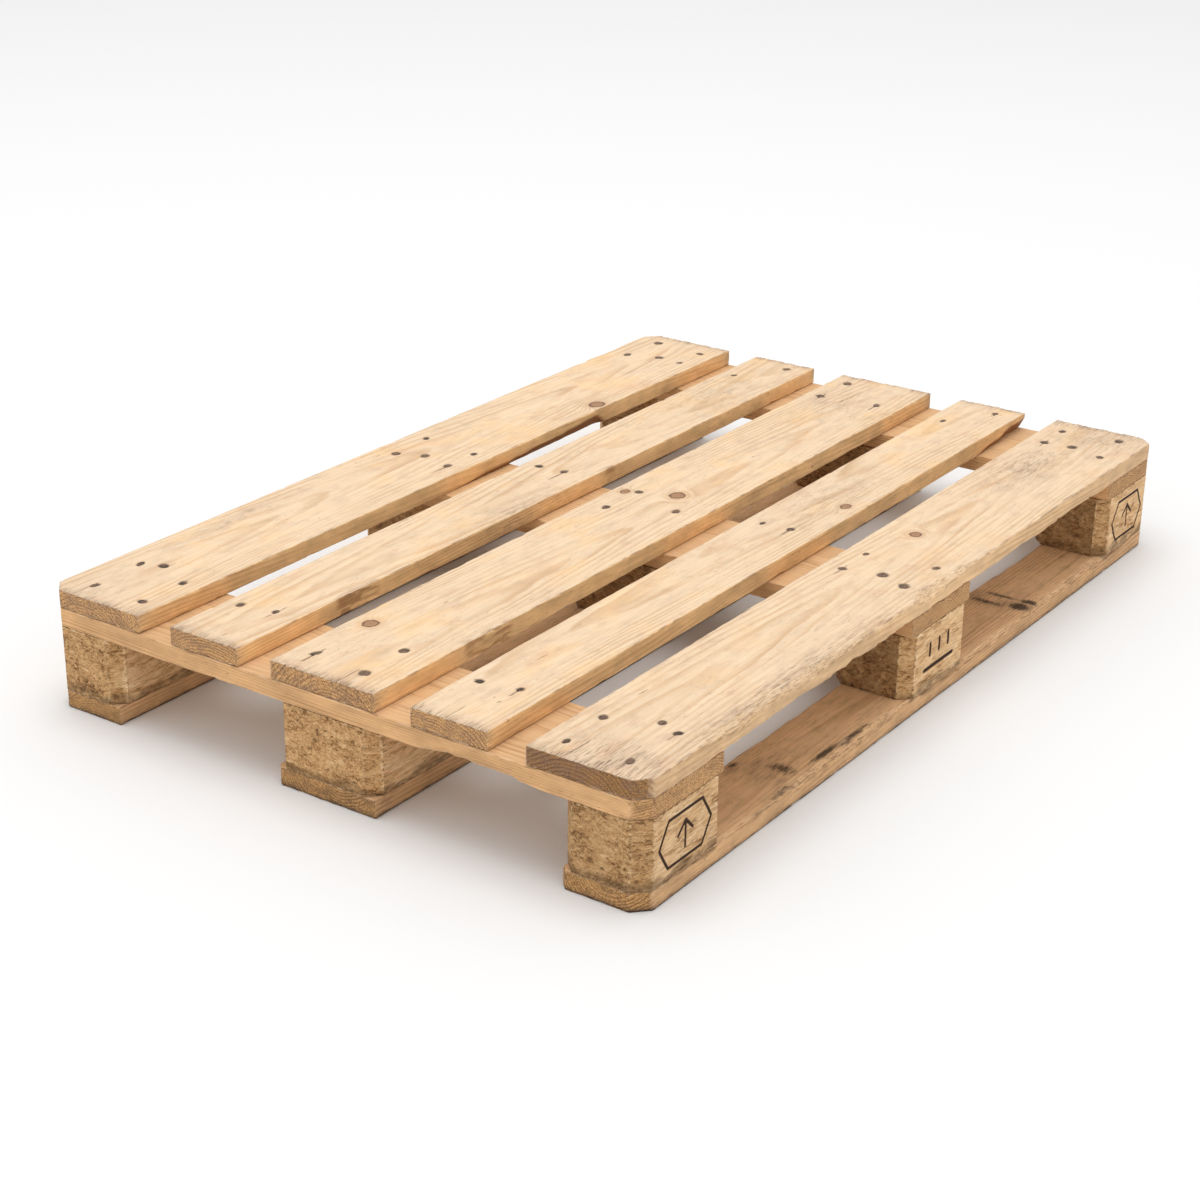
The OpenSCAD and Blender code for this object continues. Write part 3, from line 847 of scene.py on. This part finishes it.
STRINGERS = {
    "stringer_front": dict(seed=71, pith=(540, -22), ring=3.0, taper=0.010,
                           cuts={(1, -1): 18, (1, 1): 18}),
    "stringer_middle": dict(seed=73, pith=(-12, 92), ring=2.8, taper=-0.012, cuts={}),
    "stringer_rear": dict(seed=79, pith=(-520, 40), ring=2.8, taper=0.012,
                          cuts={(-1, -1): 18, (-1, 1): 18}),
}


def wane_front_stringer(board):
    """A bite out of the lower front edge, between the centre and right blocks."""
    v = board.p[:, 1]
    loss = 5.5 + 2.6 * wave(v, 40, 9) + 1.3 * wave(v, 12, 10)
    loss = ease(v, 110, 165) * (1 - ease(v, 215, 290)) * loss
    near = ease(v, 80, 120) * (1 - ease(v, 270, 300))
    loss += splinters(v, 31, 6, (20, 60), (1.2, 3.2)) * near
    board.shave((1, 0, -1), np.maximum(loss, 0), steep=0.9)


for name, b in STRINGERS.items():
    board = Piece(name, "x", b["seed"], STRINGER_STEPS, cuts=b["cuts"], radius=1.1)
    board.rough(0.4, LONG_WAVES, 3)
    board.rough(0.18, SHORT_WAVES, 4)
    board.rough(0.8, (6, 6, 4.5), 5, on_ends(board))
    wear_long_edges(board, 0.6, 7)
    wear_ends(board, 0.9)
    if name == "stringer_front":
        wane_front_stringer(board)
    board.trim()
    board.build(wood(name + "_look", b, STRINGER, grey=0.1))

# The same again, with stains (see spots) of something dark that was spilled.
SKIDS = {
    "skid_left": dict(
        seed=83, pith=(-340, -30), ring=3.2, taper=0.012,
        cuts={(-1, -1): 18, (-1, 1): 18},
        grime=[(-340, -300, 60, 200, 0.4), (-350, 270, 60, 150, 0.5)], stains=[]),
    "skid_centre": dict(
        seed=89, pith=(20, 52), ring=3.3, taper=-0.011, cuts={(-1, -1): 7, (1, 1): 6},
        grime=[(0, -300, 70, 200, 0.5), (0, 270, 70, 150, 0.6)], stains=[]),
    "skid_right": dict(
        seed=97, pith=(360, 46), ring=3.5, taper=0.014,
        cuts={(1, -1): 18, (1, 1): 18, (-1, -1): 8},
        grime=[(345, -300, 50, 50, 0.6), (350, -130, 60, 130, 0.2),
               (345, 250, 60, 30, 0.7), (350, 420, 60, 130, 0.25)],
        stains=[(386, -232, 4.5, 34, 0.9), (389, -172, 3.5, 36, 0.8),
                (368, -290, 20, 12, 0.6), (342, 243, 30, 6, 0.7), (382, 252, 14, 11, 1.0),
                (350, 270, 26, 5, 0.75), (386, 272, 12, 6, 1.0), (322, -315, 5, 10, 0.7),
                (393, -330, 5, 40, 0.5)]),
}
WANE = 12.6            # depth of the right skid's wane, and the most it may be: deeper
WANE_MOST = 13.8       # would push its lower edge through the floor
WANE_STEEP = 0.72


def wear_right_skid(skid):
    """Wane along the inner upper edge, and a worn, splintered outer one."""
    v = skid.p[:, 1]
    inner = WANE * (1 + 0.15 * wave(v, 80, 21)) + 1.1 * wave(v, 24, 22)
    inner = np.minimum(inner, WANE_MOST) * ease(v, -540, -440) * (1 - ease(v, 500, 590))
    skid.shave((-1, 0, 1), np.maximum(inner, 0), steep=WANE_STEEP, mark="wane")
    worn = 3.2 + 1.8 * wave(v, 75, 23) + 0.9 * wave(v, 21, 25)
    worn = worn + splinters(v, 24, 34, (15, 70), (1.0, 4.0))
    worn *= 1 - ease(np.abs(v), 500, 580)
    skid.shave((1, 0, 1), np.maximum(worn, 0), steep=1.3, mark="fresh")
    skid.rough(1.6, (8, 19, 6), 8, skid.paint["fresh"])


for name, b in SKIDS.items():
    nails = nails_in(name, under_nails)
    spans_u = [(x, 6, 2.2) for x, y, r in nails]
    spans_v = [(y, 6, 2.2) for x, y, r in nails]
    skid = Piece(name, "y", b["seed"], SKID_STEPS, (spans_u, spans_v, ()), b["cuts"],
                 radius=1.6)
    skid.rough(0.5, LONG_WAVES, 3)
    skid.rough(0.25, SHORT_WAVES, 4)
    skid.rough(1.0, (6, 6, 4.5), 5, on_ends(skid))
    wear_long_edges(skid, 1.0, 12)
    wear_ends(skid, 1.5)
    if name == "skid_right":
        wear_right_skid(skid)
    for n, (x, y, r) in enumerate(nails):
        skid.dent(-1, (x, y), r + DENT_RIM, DENT_DEPTH, 300 + n)
    w = skid.p[:, 2]
    top = skid.face(2, 1)
    # Dirt and painted contact shade along the lower edges, where the skid meets the floor.
    skid.darken("grime", 1.0 - 0.85 * ease(w, 1, 8))
    skid.darken("grime", spots(skid, b["grime"]) * top)
    skid.darken("grime", 0.8 * skid.paint.get("wane", 0))
    skid.darken("spill", spots(skid, b["stains"]) * top)
    # A dark line along the foot of each side: painted contact shade with the floor, partly dirt.
    skid.darken("spill", 0.75 * (1 - ease(w, 0.4, 4.5)) * (1 - skid.face(2, -1)))
    skid.trim()
    skid.build(wood(name + "_look", b, SKID, grey=0.3))


def burn_stroke(y, z, a, b, half):
    """How deep inside a straight stroke from a to b each place lies: 1 in it, 0 outside."""
    a, b = np.array(a, float), np.array(b, float)
    d = b - a
    t = np.clip(((y - a[0]) * d[0] + (z - a[1]) * d[1]) / (d @ d), 0, 1)
    gap = np.hypot(y - a[0] - t * d[0], z - a[1] - t * d[1])
    return np.clip(half + 0.5 - gap, 0, 1)


def corner_mark(y, z):
    """A plain hexagon around an upward arrow."""
    ring = [(46, 0), (30, 26), (-30, 26), (-46, 0), (-30, -26), (30, -26), (46, 0)]
    strokes = [(ring[k], ring[k + 1]) for k in range(6)]
    strokes += [((0, -15), (0, 15)), ((0, 15), (-13, 2)), ((0, 15), (13, 2))]
    return np.max([burn_stroke(y, z, a, b, 1.7) for a, b in strokes], axis=0)


def middle_mark(y, z):
    """Three short bars above a long one."""
    strokes = [((x, 2), (x, 16)) for x in (-22, 0, 22)] + [((-34, -14), (34, -14))]
    return np.max([burn_stroke(y, z, a, b, 2.4) for a, b in strokes], axis=0)


CHAMFER, CORNER_CUT = 15, 18
BLOCK_STEP = 2.3       # grid step along a block
MARK_STEP = 1.15       # the same in a block with a burnt mark
SHADES = {"block_front_right": 0.9, "block_front_centre": 1.05, "block_front_left": 1.03}
MARKS = {"block_front_right": corner_mark, "block_middle_right": middle_mark,
         "block_rear_right": corner_mark}
number = 0
for row in ("front", "middle", "rear"):
    for side in ("left", "centre", "right"):
        number += 1
        name = f"block_{row}_{side}"
        mark = MARKS.get(name)
        cuts = {(su, sv): CHAMFER for su in (-1, 1) for sv in (-1, 1)}
        if side != "centre" and row != "middle":
            cuts[(1 if side == "right" else -1, 1 if row == "rear" else -1)] = CORNER_CUT
        fine = MARK_STEP if mark else BLOCK_STEP
        block = Piece(name, "y", 100 + 7 * number, (1.9, fine, min(fine, 1.8)), cuts=cuts,
                      radius=1.0)
        mid = (block.lo + block.hi) / 2
        crumbly = 0.35 + 0.65 * on_ends(block)
        block.rough(0.5, (14, 40, 9), 3)
        block.rough(0.8, (4, 20, 3.0), 4, crumbly)
        bend = [noise(block.p, (4, 9, 4), block.seed + n) for n in (21, 22, 23)]
        warped = block.p + 2.2 * np.stack(bend, 1)
        hollow = pits(warped, (5.6, 20, 3.6), 0.07, block.seed)
        hollow = np.clip(1.5 * hollow, 0, 1) * crumbly
        block.p -= block.out * (1.5 * hollow)[:, None]
        block.paint["crack"] = hollow
        wear_long_edges(block, 0.5, 5)
        wear_ends(block, 0.9)
        if mark:
            burnt = mark(block.p[:, 1] - mid[1], block.p[:, 2] - mid[2]) * block.face(0, 1)
            block.p[:, 0] -= BURN_DEPTH * burnt
            block.paint["burn"] = burnt
        height = block.p[:, 2] - block.lo[2] + 5 * noise(block.p, (16, 16, 400), block.seed + 31)
        block.darken("grime", 0.95 * (1 - ease(height, 6, 13)))
        # Painted shade: the front faces of the middle and rear blocks, shaded by the deck, are
        # darkened.
        if row != "front":
            block.darken("grime", 0.7 * block.face(1, -1))
        block.trim()
        block.build(chips(name + "_look", 3 + number, SHADES.get(name, 1.0)))


# ---------------------------------------------------------------- floor, light and camera
def floor():
    """A plain pale floor, far wider than the camera sees."""
    half = 200.0
    mesh = bpy.data.meshes.new("floor")
    corners = [(x * half, y * half, 0) for x, y in ((-1, -1), (1, -1), (1, 1), (-1, 1))]
    mesh.from_pydata(corners, [], [(0, 1, 2, 3)])
    g = Graph("floor_paint")
    shader = g.node("ShaderNodeBsdfPrincipled", {
        "Base Color": (0.81, 0.81, 0.81, 1), "Roughness": 0.9, "Specular IOR Level": 0.0})
    g.node("ShaderNodeOutputMaterial", {"Surface": shader.outputs[0]})
    mesh.materials.append(g.material)
    thing = bpy.data.objects.new("floor", mesh)
    bpy.context.scene.collection.objects.link(thing)


floor()

world = bpy.data.worlds.new("studio")
bpy.context.scene.world = world
world.use_nodes = True
sky = world.node_tree.nodes["Background"]
sky.inputs["Color"].default_value = (1.0, 1.0, 1.0, 1.0)
sky.inputs["Strength"].default_value = 0.95


def soft_light(name, place, target, size, power):
    """A round lamp at place, facing target; size is its diameter in metres."""
    lamp = bpy.data.lights.new(name, "AREA")
    lamp.shape = "DISK"
    lamp.size = size
    lamp.energy = power
    thing = bpy.data.objects.new(name, lamp)
    thing.location = place
    aim = Vector(target) - Vector(place)
    thing.rotation_euler = aim.to_track_quat("-Z", "Y").to_euler()
    bpy.context.scene.collection.objects.link(thing)


soft_light("overhead", (-0.3, -0.3, 6.0), (0, 0, 0), size=5.0, power=140)

camera = bpy.data.cameras.new("camera")
camera.sensor_width = 36.0
camera.lens = 70.28
camera.clip_end = 100.0
eye = bpy.data.objects.new("camera", camera)
eye.location = (1.4652, -2.2129, 1.1653)
azimuth, elevation, roll = [math.radians(angle) for angle in (34.756, 23.346, 0.63)]
turn = Euler((math.pi / 2 - elevation, 0, azimuth)).to_matrix() @ Euler((0, 0, roll)).to_matrix()
eye.rotation_euler = turn.to_euler()
bpy.context.scene.collection.objects.link(eye)
bpy.context.scene.camera = eye
bpy.context.scene.view_settings.view_transform = "Standard"
